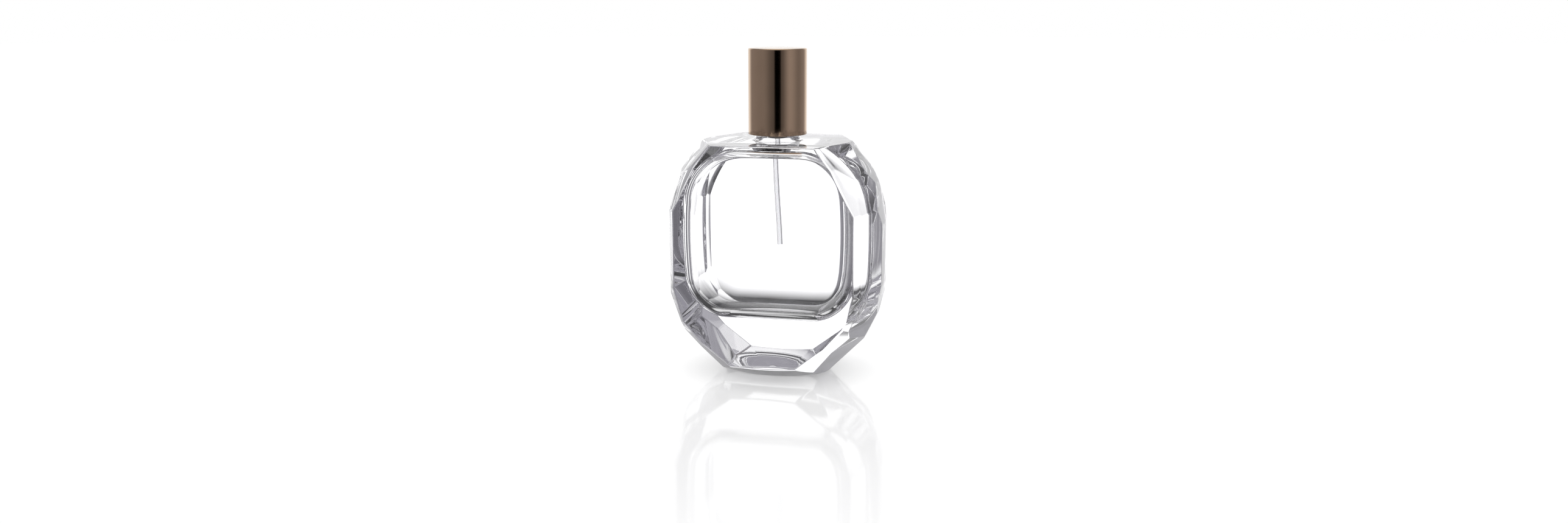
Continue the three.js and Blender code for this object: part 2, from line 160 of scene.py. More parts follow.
def lathe_mesh(profile, segments):
    """A closed bmesh of a profile [(radius, height)] turned about Z.

    A profile that starts on the axis ends on it too. Any other closes on itself, as a ring.
    """
    bm = bmesh.new()
    rings = []
    for radius, height in profile:
        if radius < 1e-9:
            rings.append([bm.verts.new((0, 0, height))])
            continue
        ring = []
        for i in range(segments):
            angle = 2 * math.pi * i / segments
            ring.append(bm.verts.new((radius * math.cos(angle), radius * math.sin(angle), height)))
        rings.append(ring)
    pairs = list(zip(rings, rings[1:]))
    if len(rings[0]) > 1:
        pairs.append((rings[-1], rings[0]))
    for lower, upper in pairs:
        for i in range(segments):
            j = (i + 1) % segments
            below = [lower[i % len(lower)], lower[j % len(lower)]]
            above = [upper[j % len(upper)], upper[i % len(upper)]]
            face = list(dict.fromkeys(below + above))
            if len(face) > 2:
                bm.faces.new(face)
    bmesh.ops.recalc_face_normals(bm, faces=bm.faces)
    return bm


def lathe(name, profile, segments):
    return new_object(name, lathe_mesh(profile, segments))


def combine(obj, tool, operation):
    """Joins a tool to the object or cuts it away, and removes the tool."""
    modifier = obj.modifiers.new("combine", "BOOLEAN")
    modifier.operation = operation
    modifier.solver = "EXACT"
    modifier.object = tool
    apply_modifiers(obj)
    bpy.data.objects.remove(tool)


def apply_modifiers(obj):
    graph = bpy.context.evaluated_depsgraph_get()
    mesh = bpy.data.meshes.new_from_object(obj.evaluated_get(graph))
    obj.modifiers.clear()
    obj.data = mesh


def weighted_normals(obj, sharp_angle):
    """Keeps flat faces flat and lets narrow edge rounding take the bend. The angle is in degrees."""
    for polygon in obj.data.polygons:
        polygon.use_smooth = True
    obj.data.set_sharp_from_angle(angle=math.radians(sharp_angle))
    modifier = obj.modifiers.new("normals", "WEIGHTED_NORMAL")
    modifier.weight = 100
    modifier.keep_sharp = True
    apply_modifiers(obj)


# ------------------------------------------------------------------ glass


def facet_planes():
    """Every facet's plane as (point, normal), on all four sides of the body."""
    planes = []
    rows = [(FACE_BEVELS, GLASS_HIGH.y), (SIDE_BEVELS, BELT_HALF_DEPTH), (BELT_FACETS, 0)]
    for facets, depth in rows:
        for turn, tilt, reach in facets:
            around = math.radians(turn)
            lean = math.radians(tilt)
            for side_x in (-1, 1):
                for side_y in (-1, 1):
                    point = Vector((
                        side_x * reach * MM * math.cos(around),
                        side_y * depth,
                        FACET_CENTRE + reach * MM * math.sin(around),
                    ))
                    normal = Vector((
                        side_x * math.cos(lean) * math.cos(around),
                        side_y * math.sin(lean),
                        math.cos(lean) * math.sin(around),
                    ))
                    planes.append((point, normal))
    return planes


def foot_tool():
    """A wide oval cone whose small end is the base: it rounds the body's lowest edges in plan."""
    reach = 1 + FOOT_SLOPE * BELOW_CAVITY / FOOT_HALF_DEPTH
    top = SHOULDER + 5 * MM
    bm = lathe_mesh([(0, 0), (1, 0), (reach, BELOW_CAVITY), (reach, top), (0, top)], 160)
    bmesh.ops.scale(bm, vec=(FOOT_HALF_WIDTH, FOOT_HALF_DEPTH, 1), verts=bm.verts)
    return new_object("foot_tool", bm)


def round_edges(obj):
    """Rounds the edges that turn more than the steps of the foot's curve do."""
    bm = bmesh.new()
    bm.from_mesh(obj.data)
    bmesh.ops.dissolve_limit(bm, angle_limit=FLAT_ANGLE, verts=bm.verts, edges=bm.edges)
    sharp = [e for e in bm.edges if e.is_manifold and e.calc_face_angle() > EDGE_ANGLE]
    bmesh.ops.bevel(
        bm, geom=sharp, offset=EDGE_RADIUS, segments=EDGE_STEPS, profile=0.5, affect="EDGES"
    )
    bm.to_mesh(obj.data)
    bm.free()


def faceted_body():
    """The outside of the body: a block sliced by every facet, its edges slightly rounded."""
    bm = bmesh.new()
    size = Vector((2 * GLASS_HIGH.x, 2 * GLASS_HIGH.y, SHOULDER))
    place = Matrix.Translation((0, 0, SHOULDER / 2)) @ Matrix.Diagonal((*size, 1))
    bmesh.ops.create_cube(bm, size=1, matrix=place)
    for point, normal in facet_planes():
        everything = bm.verts[:] + bm.edges[:] + bm.faces[:]
        cut = bmesh.ops.bisect_plane(
            bm, geom=everything, dist=1e-7, plane_co=point, plane_no=normal, clear_outer=True
        )
        edges = [e for e in cut["geom_cut"] if isinstance(e, bmesh.types.BMEdge)]
        if edges:
            bmesh.ops.edgeloop_fill(bm, edges=edges)
    bmesh.ops.remove_doubles(bm, verts=bm.verts, dist=0.05 * MM)
    bmesh.ops.recalc_face_normals(bm, faces=bm.faces)
    body = new_object("bottle_glass", bm)
    combine(body, foot_tool(), "INTERSECT")
    round_edges(body)
    return body


def neck_outside():
    """The outside of the neck: a flare from the shoulder, a bead for the crimp, and the rim."""
    root, radius, bead, rim = 8.85 * MM, 6.35 * MM, 7.5 * MM, 6.1 * MM
    root_low = SHOULDER - 2 * MM
    root_high = SHOULDER - 0.02 * MM
    flare_top = SHOULDER + 3.4 * MM
    bead_low = SHOULDER + 5.1 * MM
    bead_high = SHOULDER + 7.75 * MM
    profile = rounded(
        [
            (0, root_low, 0),
            (root, root_low, 0),
            (root, root_high, 0),
            (radius + 0.2 * MM, root_high, 1.6 * MM),
            (radius, flare_top, 0.6 * MM),
            (radius, bead_low, 0.3 * MM),
            (bead, bead_low, 0.6 * MM),
            (bead, bead_high, 0.6 * MM),
            (rim, bead_high, 0.08 * MM),
            (rim, RIM, 0.15 * MM),
            (0, RIM, 0),
        ],
        closed=False,
    )
    return lathe("neck_tool", profile, 96)


def bore_tool():
    """The bore down the neck, flaring where it opens into the cavity."""
    mouth = 7.2 * MM
    start = CAVITY_TOP - 2 * MM
    end = RIM + 0.2 * MM
    profile = rounded(
        [
            (0, start, 0),
            (mouth, start, 0),
            (mouth, CAVITY_TOP - 0.5 * MM, 0),
            (BORE, CAVITY_TOP + 1.2 * MM, 2.0 * MM),
            (BORE, RIM - 0.2 * MM, 0.1 * MM),
            (BORE + 0.3 * MM, end, 0),
            (0, end, 0),
        ],
        closed=False,
    )
    return lathe("bore_tool", profile, 96)


def edge_inset(depth, radius):
    """How far a rounded edge of the given radius has come in at a depth from the middle."""
    past = max(depth - (CAVITY_HALF_DEPTH - radius), 0)
    return radius - math.sqrt(max(radius * radius - past * past, 0))


def cavity_outline(depth):
    """The cavity's outline in the front view at a depth: its sides bulge, and its edges are round."""
    around = edge_inset(depth, CAVITY_EDGE)
    side = CAVITY_HALF_WIDTH - around
    low = CAVITY_BOTTOM + around
    high = CAVITY_TOP - edge_inset(depth, CAVITY_TOP_EDGE)
    corners = [
        (side, low, CAVITY_LOW_CORNER - around),
        (side, high, CAVITY_HIGH_CORNER - around),
        (-side, high, CAVITY_HIGH_CORNER - around),
        (-side, low, CAVITY_LOW_CORNER - around),
    ]
    middle = (CAVITY_BOTTOM + CAVITY_TOP) / 2
    half = (CAVITY_TOP - CAVITY_BOTTOM) / 2
    points = []
    outline = rounded(corners, steps=CORNER_STEPS)
    for i, (x, z) in enumerate(outline):
        points.append((x, z))
        if i % (CORNER_STEPS + 1) == CORNER_STEPS:
            next_x, next_z = outline[(i + 1) % len(outline)]
            for step in range(1, WALL_STEPS):
                share = step / WALL_STEPS
                points.append((x + (next_x - x) * share, z + (next_z - z) * share))
    return [(x * (1 - CAVITY_BULGE * ((z - middle) / half) ** 2), z) for x, z in points]


def cavity_tool():
    """The space for the perfume: flat-sided with round edges, and slightly uneven like blown glass."""
    middle = Vector((0, (CAVITY_BOTTOM + CAVITY_TOP) / 2))
    face = cavity_outline(CAVITY_HALF_DEPTH)
    inner_loops = []
    for share in (0.15, 0.4, 0.65, 0.85):
        inner_loops.append([tuple(middle.lerp(Vector(point), share)) for point in face])
    loops = [(outline, -CAVITY_HALF_DEPTH) for outline in inner_loops]
    for i in range(DEPTH_STEPS + 1):
        depth = -CAVITY_HALF_DEPTH * math.cos(math.pi * i / DEPTH_STEPS)
        loops.append((cavity_outline(abs(depth)), depth))
    loops += [(outline, CAVITY_HALF_DEPTH) for outline in reversed(inner_loops)]

    bm = bmesh.new()
    rings = []
    for outline, depth in loops:
        rings.append([bm.verts.new((x, depth, z)) for x, z in outline])
    for lower, upper in zip(rings, rings[1:]):
        for i in range(len(lower)):
            j = (i + 1) % len(lower)
            bm.faces.new((lower[i], lower[j], upper[j], upper[i]))
    bm.faces.new(rings[0])
    bm.faces.new(reversed(rings[-1]))
    bmesh.ops.recalc_face_normals(bm, faces=bm.faces)
    bm.normal_update()
    for vertex in bm.verts:
        wave = noise.noise(vertex.co * CAVITY_UNEVENNESS_SCALE) * CAVITY_UNEVENNESS
        vertex.co += vertex.normal * wave
    return new_object("cavity_tool", bm)


def base_hollow_tool():
    """The shallow oval dome that is cut into the base."""
    half_width, half_depth, depth = 12.5 * MM, 6.8 * MM, 1.5 * MM
    profile = [(0, -1 * MM), (1, -1 * MM), (1, 0)]
    steps = 12
    for i in range(1, steps + 1):
        angle = math.pi / 2 * i / steps
        profile.append((0 if i == steps else math.cos(angle), depth * math.sin(angle)))
    bm = lathe_mesh(profile, 96)
    bmesh.ops.scale(bm, vec=(half_width, half_depth, 1), verts=bm.verts)
    return new_object("hollow_tool", bm)


def build_glass():
    body = faceted_body()
    combine(body, neck_outside(), "UNION")
    combine(body, cavity_tool(), "DIFFERENCE")
    combine(body, bore_tool(), "DIFFERENCE")
    combine(body, base_hollow_tool(), "DIFFERENCE")
    weighted_normals(body, 50)
    body.data.materials.clear()
    body.data.materials.append(glass_material())
    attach(body, "bottle")
    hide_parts("glass_bottle")


# ------------------------------------------------------------------ materials


def material(name, **sockets):
    """A node material whose shader sockets are set by name. Returns it with its tree and shader."""
    made = bpy.data.materials.new(name)
    made.use_nodes = True
    tree = made.node_tree
    shader = tree.nodes["Principled BSDF"]
    for socket, value in sockets.items():
        shader.inputs[socket.replace("_", " ")].default_value = value
    return made, tree, shader


def noise_node(tree, scale, detail=3, stretch=None):
    """A noise texture in the object's own space, stretched by the given factors."""
    place = tree.nodes.new("ShaderNodeTexCoord")
    texture = tree.nodes.new("ShaderNodeTexNoise")
    texture.inputs["Scale"].default_value = scale
    texture.inputs["Detail"].default_value = detail
    source = place.outputs["Object"]
    if stretch:
        mapping = tree.nodes.new("ShaderNodeMapping")
        mapping.inputs["Scale"].default_value = stretch
        tree.links.new(source, mapping.inputs["Vector"])
        source = mapping.outputs["Vector"]
    tree.links.new(source, texture.inputs["Vector"])
    return texture.outputs["Fac"]


def ranged(tree, source, low, high, start=0.3, end=0.7):
    """A value between low and high, taken from a 0 to 1 source."""
    node = tree.nodes.new("ShaderNodeMapRange")
    node.inputs["From Min"].default_value = start
    node.inputs["From Max"].default_value = end
    node.inputs["To Min"].default_value = low
    node.inputs["To Max"].default_value = high
    tree.links.new(source, node.inputs["Value"])
    return node.outputs["Result"]


def tinted(tree, source, dark, light):
    """A colour between two, taken from a 0 to 1 source."""
    node = tree.nodes.new("ShaderNodeMix")
    node.data_type = "RGBA"
    node.inputs["A"].default_value = (*dark, 1)
    node.inputs["B"].default_value = (*light, 1)
    tree.links.new(source, node.inputs["Factor"])
    return node.outputs["Result"]


def neutral(value):
    """A grey of the given brightness."""
    return (value, value, value, 1)


def bump(tree, shader, source, strength, distance):
    """Raises the surface by a 0 to 1 source. The distance is in metres."""
    node = tree.nodes.new("ShaderNodeBump")
    node.inputs["Strength"].default_value = strength
    node.inputs["Distance"].default_value = distance
    tree.links.new(source, node.inputs["Height"])
    tree.links.new(node.outputs["Normal"], shader.inputs["Normal"])


def glass_material():
    """Clear glass that is a little grey where it is thick."""
    made, tree, shader = material("glass", Roughness=0.0, IOR=1.52, Transmission_Weight=1.0)
    cloud = noise_node(tree, 45)
    colour = tinted(tree, cloud, (0.985, 0.985, 0.995), (1, 1, 1))
    tree.links.new(colour, shader.inputs["Base Color"])
    inside = tree.nodes.new("ShaderNodeVolumeAbsorption")
    inside.inputs["Color"].default_value = (0.5, 0.49, 0.54, 1)
    inside.inputs["Density"].default_value = 4
    tree.links.new(inside.outputs["Volume"], tree.nodes["Material Output"].inputs["Volume"])
    return made


def bronze_material():
    """Anodised metal with a soft vertical grain."""
    made, tree, shader = material("bronze", Metallic=1.0)
    cloud = noise_node(tree, 160)
    colour = tinted(tree, cloud, (0.47, 0.332, 0.222), (0.53, 0.378, 0.256))
    tree.links.new(colour, shader.inputs["Base Color"])
    grain = noise_node(tree, 1100, 4, (1, 1, 0.05))
    tree.links.new(ranged(tree, grain, 0.1, 0.15), shader.inputs["Roughness"])
    bump(tree, shader, grain, 0.08, 0.00001)
    return made


def plastic_material(name, dark, light, roughness, **sockets):
    """Moulded plastic or rubber with a fine texture."""
    made, tree, shader = material(name, **sockets)
    cloud = noise_node(tree, 260)
    tree.links.new(tinted(tree, cloud, dark, light), shader.inputs["Base Color"])
    tree.links.new(ranged(tree, cloud, roughness - 0.05, roughness + 0.05), shader.inputs["Roughness"])
    bump(tree, shader, noise_node(tree, 2600, 2), 0.15, 0.00002)
    return made


def metal_material(name, dark, light, roughness, stretch):
    """Bare metal, with its grain stretched by the given factors."""
    made, tree, shader = material(name, Metallic=1.0)
    grain = noise_node(tree, 700, 4, stretch)
    tree.links.new(tinted(tree, grain, dark, light), shader.inputs["Base Color"])
    tree.links.new(ranged(tree, grain, roughness - 0.06, roughness + 0.06), shader.inputs["Roughness"])
    bump(tree, shader, grain, 0.2, 0.00001)
    return made


# ------------------------------------------------------------------ metal and plastic pieces


def finish_piece(piece, finish, body, node):
    """Gives a piece its material, and its place in the frame."""
    piece.data.materials.clear()
    piece.data.materials.append(finish)
    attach(piece, body)
    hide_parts(node)
    return piece


def build_cap(bronze, white):
    """The bronze skin of the cap, and the white liner that grips the collar."""
    low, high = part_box("cap_shell")
    outer = high.x
    inner = outer - 0.35 * MM
    plate = 0.45 * MM
    shell = rounded(
        [
            (0, high.z, 0),
            (outer, high.z, 0.45 * MM),
            (outer, low.z, 0.16 * MM),
            (inner, low.z, 0.14 * MM),
            (inner, high.z - plate, 0.2 * MM),
            (0, high.z - plate, 0),
        ],
        closed=False,
    )
    finish_piece(lathe("cap_skin", shell, 192), bronze, "cap", "cap_shell")

    low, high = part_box("cap_liner")
    mouth, bore = 8.1 * MM, 7.4 * MM
    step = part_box("pump_collar")[0].z + 6.35 * MM
    ceiling = high.z - 0.8 * MM
    liner = rounded(
        [
            (0, high.z, 0),
            (high.x, high.z, 0.3 * MM),
            (high.x, low.z, 0.08 * MM),
            (mouth, low.z, 0.1 * MM),
            (mouth, step, 0.1 * MM),
            (bore, step, 0.2 * MM),
            (bore, ceiling, 0.5 * MM),
            (0, ceiling, 0),
        ],
        closed=False,
    )
    finish_piece(lathe("cap_inner", liner, 128), white, "cap", "cap_liner")


def build_collar(bronze):
    """The bronze sleeve round the crimp, with a throat and a wider head above it."""
    low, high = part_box("pump_collar")
    sleeve_bore = 7.83 * MM
    throat = 4.85 * MM
    head = 5.3 * MM
    head_bore = 4.65 * MM
    stem_hole = 2 * MM
    sleeve_top = SHOULDER + 9.35 * MM
    sleeve_ceiling = SHOULDER + 9.12 * MM
    head_ceiling = high.z - 0.2 * MM
    corners = [
        (sleeve_bore, low.z, 0.06 * MM),
        (high.x, low.z, 0.12 * MM),
        (high.x, sleeve_top, 0.38 * MM),
        (throat, sleeve_top, 0.85 * MM),
        (throat, SHOULDER + 10.3 * MM, 0.12 * MM),
        (head, SHOULDER + 10.55 * MM, 0.3 * MM),
        (head, high.z, 0.6 * MM),
        (stem_hole, high.z, 0.1 * MM),
        (stem_hole, head_ceiling, 0),
        (head_bore, head_ceiling, 0),
        (head_bore, sleeve_ceiling, 0),
        (sleeve_bore, sleeve_ceiling, 0),
    ]
    finish_piece(
        lathe("collar_skin", rounded(corners), 160), bronze, "bottle", "pump_collar"
    )


def build_button(bronze, dark):
    """The bronze skin of the button with a round hole in its side, and the nozzle set in the hole."""
    low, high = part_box("button_shell")
    outer = high.x
    inner = outer - 0.3 * MM
    ceiling = high.z - 0.3 * MM
    cup = rounded(
        [
            (0, high.z, 0),
            (outer, high.z, 0.42 * MM),
            (outer, low.z, 0.12 * MM),
            (inner, low.z, 0.1 * MM),
            (inner, ceiling, 0),
            (0, ceiling, 0),
        ],
        closed=False,
    )
    shell = lathe("button_skin", cup, 160)
    insert_low, insert_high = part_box("nozzle_insert")
    height = (insert_low.z + insert_high.z) / 2
    forward = Matrix.Translation((0, 0, height)) @ Matrix.Rotation(math.pi / 2, 4, "X")
    hole_radius, hole_start, hole_end = 1.75 * MM, 4 * MM, 8 * MM
    drill = [(0, hole_start), (hole_radius, hole_start), (hole_radius, hole_end), (0, hole_end)]
    hole = lathe("hole_tool", drill, 64)
    hole.data.transform(forward)
    combine(shell, hole, "DIFFERENCE")
    weighted_normals(shell, 30)
    finish_piece(shell, bronze, "button", "button_shell")

    face = -insert_low.y
    back = -insert_high.y
    radius = insert_high.x
    spray_hole = 0.22 * MM
    socket = 0.95 * MM
    socket_end = back + 1.2 * MM
    dish = face - 0.12 * MM
    disc = rounded(
        [
            (spray_hole, socket_end, 0),
            (spray_hole, face - 0.35 * MM, 0),
            (0.75 * MM, dish, 0.1 * MM),
            (0.95 * MM, dish, 0.05 * MM),
            (1.05 * MM, face, 0.05 * MM),
            (radius, face, 0.12 * MM),
            (radius, back, 0),
            (socket, back, 0),
            (socket, socket_end, 0),
        ],
        steps=4,
    )
    insert = lathe("nozzle", disc, 64)
    insert.data.transform(forward)
    finish_piece(insert, dark, "button", "nozzle_insert")


def build_housing(grey):
    """The pump's housing: the piston's bore above, the tube's socket below, and a flange at the rim."""
    low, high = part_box("pump_housing")
    socket = 0.85 * MM
    bore = 2.6 * MM
    nose = 2.9 * MM
    barrel = 3.7 * MM
    lip = 3.3 * MM
    bore_floor = SHOULDER + 3.4 * MM
    flange_low = SHOULDER + 8.33 * MM
    flange_high = SHOULDER + 8.6 * MM
    corners = [
        (socket, low.z, 0.1 * MM),
        (nose, low.z, 0.45 * MM),
        (nose, SHOULDER + 1.3 * MM, 0.15 * MM),
        (barrel, SHOULDER + 1.5 * MM, 0.2 * MM),
        (barrel, flange_low, 0),
        (high.x, flange_low, 0),
        (high.x, flange_high, 0),
        (lip, flange_high, 0),
        (lip, high.z, 0),
        (bore, high.z, 0),
        (bore, bore_floor, 0),
        (socket, bore_floor, 0),
    ]
    finish_piece(
        lathe("housing", rounded(corners, 4), 96), grey, "bottle", "pump_housing"
    )


def build_tube(clear):
    """The dip tube: a thin wall swept along its slightly bent line, cut square at its end."""
    low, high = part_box("dip_tube")
    outer, inner = 0.8 * MM, 0.5 * MM
    top = high.z
    end = Vector((1.6 * MM, -0.6 * MM, low.z + 0.03 * MM))
    knots = [
        Vector((0, 0, top)),
        Vector((0, 0, top - 14 * MM)),
        Vector((0.7 * end.x, 0.7 * end.y, top - 20 * MM)),
        end,
    ]
    steps, segments = 60, 32
    bm = bmesh.new()
    rings = {outer: [], inner: []}
    for i in range(steps + 1):
        t = i / steps
        u = 1 - t
        point = u**3 * knots[0] + 3 * u * u * t * knots[1] + 3 * u * t * t * knots[2] + t**3 * knots[3]
        start_slope, middle_slope, end_slope = (b - a for a, b in zip(knots, knots[1:]))
        slope = u * u * start_slope + 2 * u * t * middle_slope + t * t * end_slope
        down = slope.normalized()
        side = Vector((1, 0, 0)).cross(down).normalized()
        across = down.cross(side)
        for radius, made in rings.items():
            ring = []
            for j in range(segments):
                angle = 2 * math.pi * j / segments
                offset = side * math.cos(angle) + across * math.sin(angle)
                ring.append(bm.verts.new(point + offset * radius))
            made.append(ring)
    loops = rings[outer] + rings[inner][::-1]
    for lower, upper in zip(loops, loops[1:] + loops[:1]):
        for j in range(segments):
            k = (j + 1) % segments
            bm.faces.new((lower[j], lower[k], upper[k], upper[j]))
    bmesh.ops.recalc_face_normals(bm, faces=bm.faces)
    finish_piece(new_object("tube", bm), clear, "bottle", "dip_tube")


def build_spring(steel):
    """The return spring: a coil at its rest length, in a mesh of its own. The real one shortens towards its
    foot as the button is pressed.
    """
    low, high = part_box("return_spring")
    wire, radius, turns = 0.17 * MM, 1.95 * MM, 5
    steps_per_turn, segments = 40, 12
    steps = turns * steps_per_turn
    bm = bmesh.new()
    rings = []
    for i in range(steps + 1):
        turn = 2 * math.pi * turns * i / steps
        outward = Vector((math.cos(turn), math.sin(turn), 0))
        rise = low.z + wire + (high.z - low.z - 2 * wire) * i / steps
        ring = []
        for j in range(segments):
            angle = 2 * math.pi * j / segments
            offset = outward * (radius + wire * math.cos(angle))
            ring.append(bm.verts.new((offset.x, offset.y, rise + wire * math.sin(angle))))
        rings.append(ring)
    for lower, upper in zip(rings, rings[1:]):
        for j in range(segments):
            k = (j + 1) % segments
            bm.faces.new((lower[j], lower[k], upper[k], upper[j]))
    bm.faces.new(rings[0])
    bm.faces.new(rings[-1])
    bmesh.ops.recalc_face_normals(bm, faces=bm.faces)
    spring = finish_piece(new_object("spring", bm), steel, "bottle", "return_spring")
    # The button's full press leaves the coil 0.355 of its length.
    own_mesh(spring)


def paint_hidden_nodes(finishes):
    """Gives the CAD nodes that stay their materials."""
    for node, finish in finishes.items():
        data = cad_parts[node].data
        data.materials.clear()
        data.materials.append(finish)


# ------------------------------------------------------------------ studio

# The camera is turned to the right of the bottle's front. Its distance and height are in metres, and
# so is the point that it looks at, a little right of the bottle's axis.
VIEW_AZIMUTH = math.radians(13.5)
CAMERA_DISTANCE = 0.404
CAMERA_HEIGHT = 0.1145
AIM_RIGHT = 0.0019
AIM_HEIGHT = 0.0332
LENS = 31.03
SENSOR_WIDTH = 36

# The room differs with the kind of ray. Where a pair of numbers goes from one thing to another, it is
# the height of the ray's direction, from -1 straight down to 1 straight up.
# Rings are stops round the horizon: degrees to the right of straight behind the bottle, brightness.

# Seen through glass, level: bright windows between grey walls
WINDOWS = [
    (-180, 0.45), (-135, 0.42), (-105, 0.3), (-85, 0.28), (-80, 1), (-72, 1), (-67, 0.25), (-45, 0.25),
    (-37, 1.4), (10, 1.4), (17, 0.28), (50, 0.2), (110, 0.26), (132, 0.3), (142, 0.8), (155, 0.8),
    (165, 0.4), (180, 0.45),
]
# Seen through glass, lower down: a dark table, which is bright straight below the bottle
TABLE = 0.06
TABLE_TO_HORIZON = (-0.67, -0.3)
BELOW = 0.85
BELOW_TO_TABLE = (-0.985, -0.93)
# Mirrored, level and lower down: soft walls and the dark camera side
WALLS = [
    (-180, 0), (-170, 0), (-165, 0.15), (-120, 0.35), (-60, 0.4), (-35, 1.2), (30, 1.2),
    (60, 0.4), (90, 0.3), (130, 0.5), (165, 0.15), (170, 0), (180, 0),
]
# Seen through glass and mirrored, higher up: walls that are dark above the backdrop, then the ceiling
UPPER = [(-180, 0.4), (-60, 0.45), (-32, 0.1), (32, 0.1), (60, 0.45), (180, 0.4)]
HORIZON_TO_UPPER = (0.3, 0.6)
CEILING = 1.1
UPPER_TO_CEILING = (0.75, 0.92)
# Falls on matt surfaces, from everywhere
SOFT_LIGHT = 1.08
# Stops darker than this are tinted a little violet
TINTED_BELOW = 0.6
WALL_TINT = (0.97, 0.95, 1.04)

# Floor, in metres: how far its two parts reach, where the floor's painted glow rises and so ends the shade
# round the bottle, and where the gloss ends while a little more painted glow comes in
FLOOR_CENTRE = 1e-4
NEAR_FLOOR = 0.1
FAR_FLOOR = 3
FLOOR_GAP = 0.00005
FLOOR_SEGMENTS = 96
PAINTED_GLOW_RISE = (0.015, 0.032)
GLOSS_TO_PAINTED_GLOW = (0.06, 0.16)

LIGHT_BOUNCES = 32


def make_camera():
    data = bpy.data.cameras.new("camera")
    data.lens = LENS
    data.sensor_width = SENSOR_WIDTH
    data.clip_start = 0.01
    camera = bpy.data.objects.new("camera", data)
    bpy.context.scene.collection.objects.link(camera)
    forward = Vector((-math.sin(VIEW_AZIMUTH), math.cos(VIEW_AZIMUTH), 0))
    right = Vector((math.cos(VIEW_AZIMUTH), math.sin(VIEW_AZIMUTH), 0))
    camera.location = forward * -CAMERA_DISTANCE + Vector((0, 0, CAMERA_HEIGHT))
    aim = right * AIM_RIGHT + Vector((0, 0, AIM_HEIGHT))
    camera.rotation_euler = (aim - camera.location).to_track_quat("-Z", "Y").to_euler()
    bpy.context.scene.camera = camera


def floor_material():
    """A white table: it takes real shade close to the bottle and is glossy round it. Further out it glows
    with a painted glow that fills in the bottle's shadow and keeps it evenly bright.
    """
    made, tree, shader = material("floor", IOR=1.45, Emission_Color=neutral(1))
    place = tree.nodes.new("ShaderNodeTexCoord")
    distance = tree.nodes.new("ShaderNodeVectorMath")
    distance.operation = "LENGTH"
    tree.links.new(place.outputs["Object"], distance.inputs["Vector"])
    away = distance.outputs["Value"]
    # Painted glow: the floor glows more strongly away from the bottle, as no lamp does, so that the
    # bottle's soft shadow fades out there. Its colour darkens as the glow grows, which keeps it evenly
    # white.
    painted_glow_share = ranged(tree, away, 0, 1, *PAINTED_GLOW_RISE)
    colour = tinted(tree, painted_glow_share, (0.75, 0.75, 0.75), (0.35, 0.35, 0.35))
    tree.links.new(colour, shader.inputs["Base Color"])
    near_glow = ranged(tree, painted_glow_share, 0.13, 0.56, 0, 1)
    # More painted glow where the gloss fades. It stands in for the reflected light that is lost there.
    far_glow = ranged(tree, away, 0, 0.1, *GLOSS_TO_PAINTED_GLOW)
    tree.links.new(math_node(tree, "ADD", near_glow, far_glow), shader.inputs["Emission Strength"])
    tree.links.new(ranged(tree, away, 0.5, 0, *GLOSS_TO_PAINTED_GLOW), shader.inputs["Specular IOR Level"])
    tree.links.new(ranged(tree, noise_node(tree, 9), 0.05, 0.08), shader.inputs["Roughness"])
    return made


def make_floor():
    """The table is left out of what is seen through glass, and its far part out of what metal mirrors."""
    table = floor_material()
    parts = (("floor", FLOOR_CENTRE, NEAR_FLOOR), ("far_floor", NEAR_FLOOR, FAR_FLOOR))
    for name, *radii in parts:
        bm = bmesh.new()
        inner, outer = (
            bmesh.ops.create_circle(bm, segments=FLOOR_SEGMENTS, radius=radius)["verts"] for radius in radii
        )
        for i in range(FLOOR_SEGMENTS):
            j = (i + 1) % FLOOR_SEGMENTS
            bm.faces.new((inner[i], outer[i], outer[j], inner[j]))
        bmesh.ops.recalc_face_normals(bm, faces=bm.faces)
        floor = new_object(name, bm)
        floor.data.materials.append(table)
        floor.location.z = -FLOOR_GAP
        floor.visible_transmission = False
        floor.visible_glossy = name == "floor"


def ring_light(tree, azimuth, stops):
    """The colour that a ring of stops has at an azimuth, which is 0 to 1 for -180 to 180 degrees."""
    ramp = tree.nodes.new("ShaderNodeValToRGB")
    ramp.color_ramp.interpolation = "EASE"
    elements = ramp.color_ramp.elements
    for i, (degrees, bright) in enumerate(stops):
        if i == 0:
            element = elements[0]
        elif i == len(stops) - 1:
            element = elements[-1]
        else:
            element = elements.new((degrees + 180) / 360)
        tint = WALL_TINT if bright < TINTED_BELOW else (1, 1, 1)
        element.color = (*(bright * share for share in tint), 1)
    tree.links.new(azimuth, ramp.inputs["Fac"])
    return ramp.outputs["Color"]


def blend_colours(tree, factor, first, second):
    """A colour from first to second as the factor goes from 0 to 1. Each is a colour or a socket."""
    node = tree.nodes.new("ShaderNodeMix")
    node.data_type = "RGBA"
    for socket, value in (("Factor", factor), ("A", first), ("B", second)):
        if isinstance(value, tuple):
            node.inputs[socket].default_value = value
        else:
            tree.links.new(value, node.inputs[socket])
    return node.outputs["Result"]


def math_node(tree, operation, *values):
    """The result of an operation on numbers or sockets."""
    node = tree.nodes.new("ShaderNodeMath")
    node.operation = operation
    for socket, value in zip(node.inputs, values):
        if isinstance(value, (int, float)):
            socket.default_value = value
        else:
            tree.links.new(value, socket)
    return node.outputs["Value"]


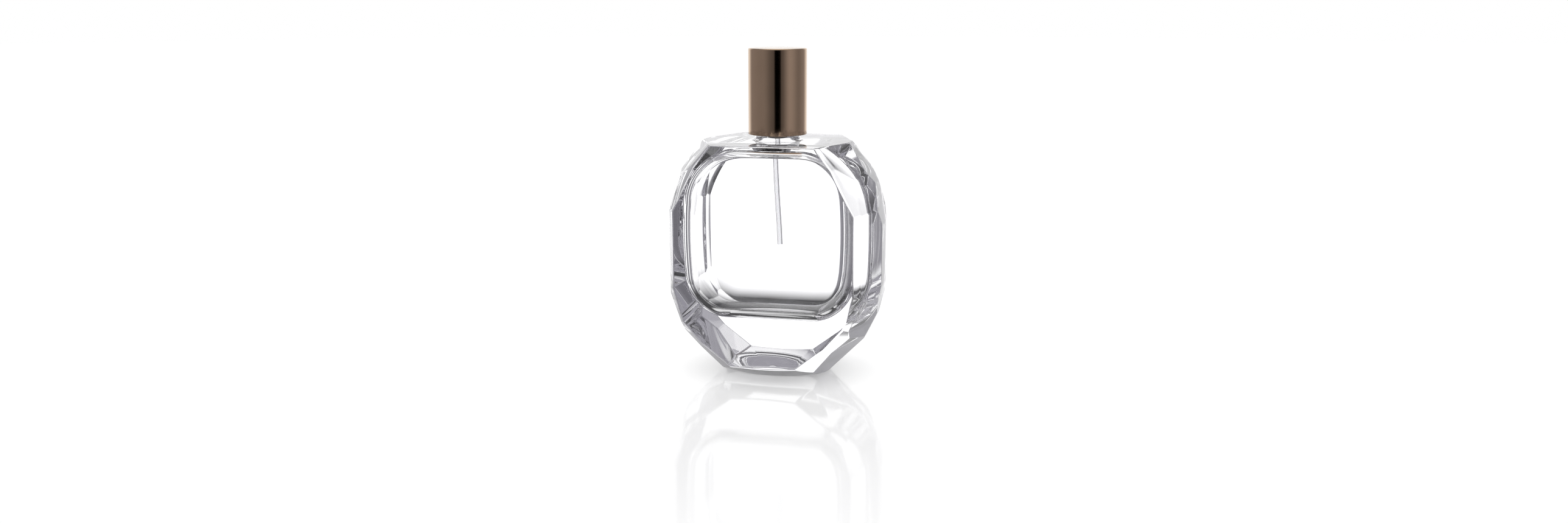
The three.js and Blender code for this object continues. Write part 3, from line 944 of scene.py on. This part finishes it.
def make_world():
    """A white room as seen directly. Glass, metal and matt surfaces each see a studio of their own."""
    world = bpy.data.worlds.new("studio")
    bpy.context.scene.world = world
    world.use_nodes = True
    tree = world.node_tree
    place = tree.nodes.new("ShaderNodeTexCoord")
    turn = tree.nodes.new("ShaderNodeMapping")
    turn.inputs["Rotation"].default_value = (0, 0, -VIEW_AZIMUTH)
    tree.links.new(place.outputs["Generated"], turn.inputs["Vector"])
    axes = tree.nodes.new("ShaderNodeSeparateXYZ")
    tree.links.new(turn.outputs["Vector"], axes.inputs["Vector"])
    right, away, up = axes.outputs
    angle = math_node(tree, "ARCTAN2", right, away)
    azimuth = ranged(tree, angle, 0, 1, -math.pi, math.pi)
    rays = tree.nodes.new("ShaderNodeLightPath")
    windows = ring_light(tree, azimuth, WINDOWS)
    past_below = ranged(tree, up, 0, 1, *BELOW_TO_TABLE)
    table = blend_colours(tree, past_below, neutral(BELOW), neutral(TABLE))
    past_table = ranged(tree, up, 0, 1, *TABLE_TO_HORIZON)
    through_glass = blend_colours(tree, past_table, table, windows)
    refracted = rays.outputs["Is Transmission Ray"]
    horizon = blend_colours(tree, refracted, ring_light(tree, azimuth, WALLS), through_glass)
    upper = ring_light(tree, azimuth, UPPER)
    walls = blend_colours(tree, ranged(tree, up, 0, 1, *HORIZON_TO_UPPER), horizon, upper)
    room = blend_colours(tree, ranged(tree, up, 0, 1, *UPPER_TO_CEILING), walls, neutral(CEILING))
    bounced = math_node(tree, "MINIMUM", rays.outputs["Diffuse Depth"], 1)
    soft = blend_colours(tree, bounced, room, neutral(SOFT_LIGHT))
    seen = blend_colours(tree, rays.outputs["Is Camera Ray"], soft, neutral(1))
    tree.links.new(seen, tree.nodes["Background"].inputs["Color"])


def set_view():
    """Plain colours, and enough bounces for light to get through the glass."""
    scene = bpy.context.scene
    scene.view_settings.view_transform = "Standard"
    scene.view_settings.look = "None"
    scene.cycles.max_bounces = LIGHT_BOUNCES
    scene.cycles.transmission_bounces = LIGHT_BOUNCES
    scene.cycles.glossy_bounces = LIGHT_BOUNCES


# ------------------------------------------------------------------ assembly

make_camera()
bronze = bronze_material()
white = plastic_material("white_plastic", (0.78, 0.78, 0.76), (0.84, 0.84, 0.82), 0.42)
grey = plastic_material("grey_plastic", (0.155, 0.13, 0.115), (0.19, 0.165, 0.15), 0.4)
dark = plastic_material("dark_plastic", (0.07, 0.045, 0.035), (0.095, 0.063, 0.05), 0.35)
rubber = plastic_material("seal_rubber", (0.02, 0.02, 0.02), (0.03, 0.03, 0.03), 0.6)
clear = plastic_material(
    "clear_plastic", (0.93, 0.93, 0.95), (1, 1, 1), 0.06, IOR=1.35, Transmission_Weight=0.92
)
aluminium = metal_material("aluminium", (0.62, 0.63, 0.64), (0.75, 0.76, 0.77), 0.3, (1, 1, 0.1))
steel = metal_material("steel", (0.55, 0.56, 0.58), (0.68, 0.69, 0.7), 0.25, (1, 1, 1))

build_glass()
build_tube(clear)
build_housing(grey)
build_collar(bronze)
build_button(bronze, dark)
build_cap(bronze, white)
build_spring(steel)
paint_hidden_nodes({
    "neck_gasket": rubber,
    "ball_retainer": white,
    "check_ball": steel,
    "crimp_ferrule": aluminium,
    "pump_turret": grey,
    "stem_seal": rubber,
    "pump_stem": white,
    "piston": white,
    "piston_seat": white,
    "button_core": white,
    "cap_weight": steel,
})

make_floor()
make_world()
set_view()
